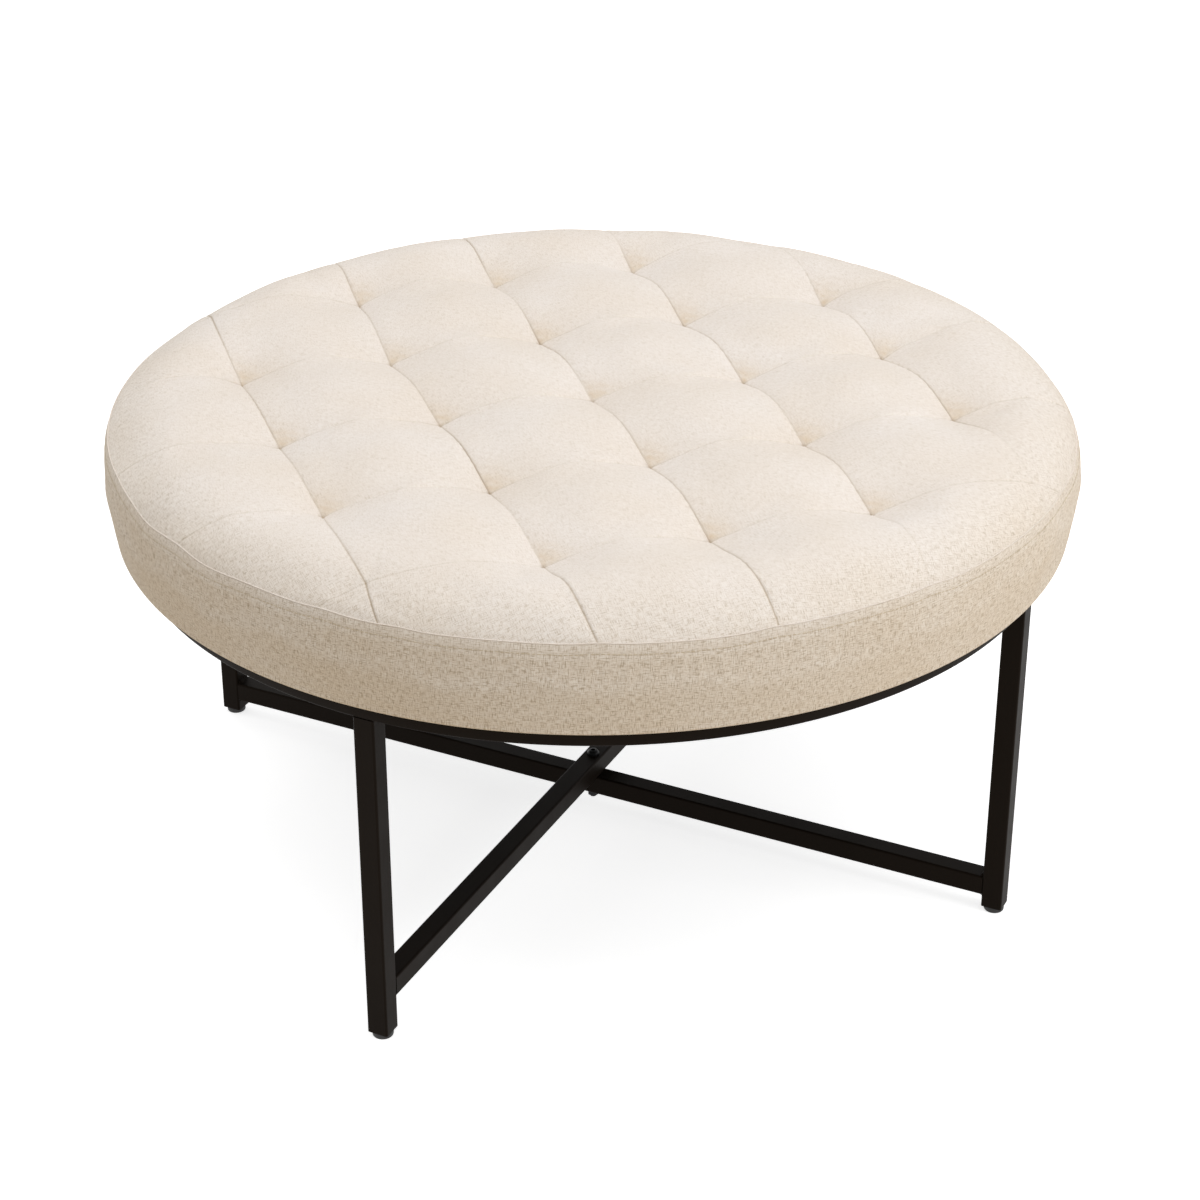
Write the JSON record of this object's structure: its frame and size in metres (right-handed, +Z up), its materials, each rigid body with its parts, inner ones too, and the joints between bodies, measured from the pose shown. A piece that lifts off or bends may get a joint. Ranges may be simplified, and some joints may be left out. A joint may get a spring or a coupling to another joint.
{
  "type": "tufted ottoman",
  "caption": "Round tufted ottoman: a cream cushion with sewn tufts and a boxed side, on a black square-tube ring and crossed leg frames with levelling feet.",
  "frame": {"origin": "on the floor under the middle of the cushion", "axes": "+Z up; +X towards the right leg and along the lower cross bar, +Y towards the back leg and along the upper cross bar"},
  "size_m": [0.9, 0.9, 0.4596],
  "materials": {
    "linen": "woven linen-look upholstery fabric, matt",
    "foam": "open-cell foam",
    "plywood": "raw plywood",
    "cord": "waxed upholstery twine",
    "toggle": "moulded, matt",
    "dust_cloth": "black non-woven cloth",
    "black_frame": "satin black powder coat on steel tube",
    "black_screw": "black oxide steel",
    "zinc": "zinc-plated steel",
    "foot_pad": "moulded black plastic pad on a threaded stem"
  },
  "bodies": {
    "ottoman": {"tufted_top": "linen", "boxing_band": "linen", "foam_core": "foam", "seat_board": "plywood", "tuft_ties": "cord", "tie_toggles": "toggle", "dust_cover": "dust_cloth", "insert_nuts": "zinc", "seat_ring": "black_frame", "seat_tabs": "black_frame", "seat_screws": "black_screw", "leg_screws": "black_screw", "leg_plugs": "zinc", "foot_plugs": "zinc", "lower_bar": "black_frame", "upper_bar": "black_frame", "bar_welds": "black_frame", "centre_bolt": "black_screw", "centre_washer": "zinc", "centre_nut": "zinc", "leg_right": "black_frame", "leg_back": "black_frame", "leg_left": "black_frame", "leg_front": "black_frame"},
    "foot_right": {"foot_right": "foot_pad"},
    "foot_back": {"foot_back": "foot_pad"},
    "foot_left": {"foot_left": "foot_pad"},
    "foot_front": {"foot_front": "foot_pad"}
  },
  "joints": [
    {"name": "foot_right_screw", "type": "slide", "parent": "ottoman", "child": "foot_right", "axis": [0, 0, -1], "range_m": [0, 0.006]},
    {"name": "foot_back_screw", "type": "slide", "parent": "ottoman", "child": "foot_back", "axis": [0, 0, -1], "range_m": [0, 0.006]},
    {"name": "foot_left_screw", "type": "slide", "parent": "ottoman", "child": "foot_left", "axis": [0, 0, -1], "range_m": [0, 0.006]},
    {"name": "foot_front_screw", "type": "slide", "parent": "ottoman", "child": "foot_front", "axis": [0, 0, -1], "range_m": [0, 0.006]}
  ]
}
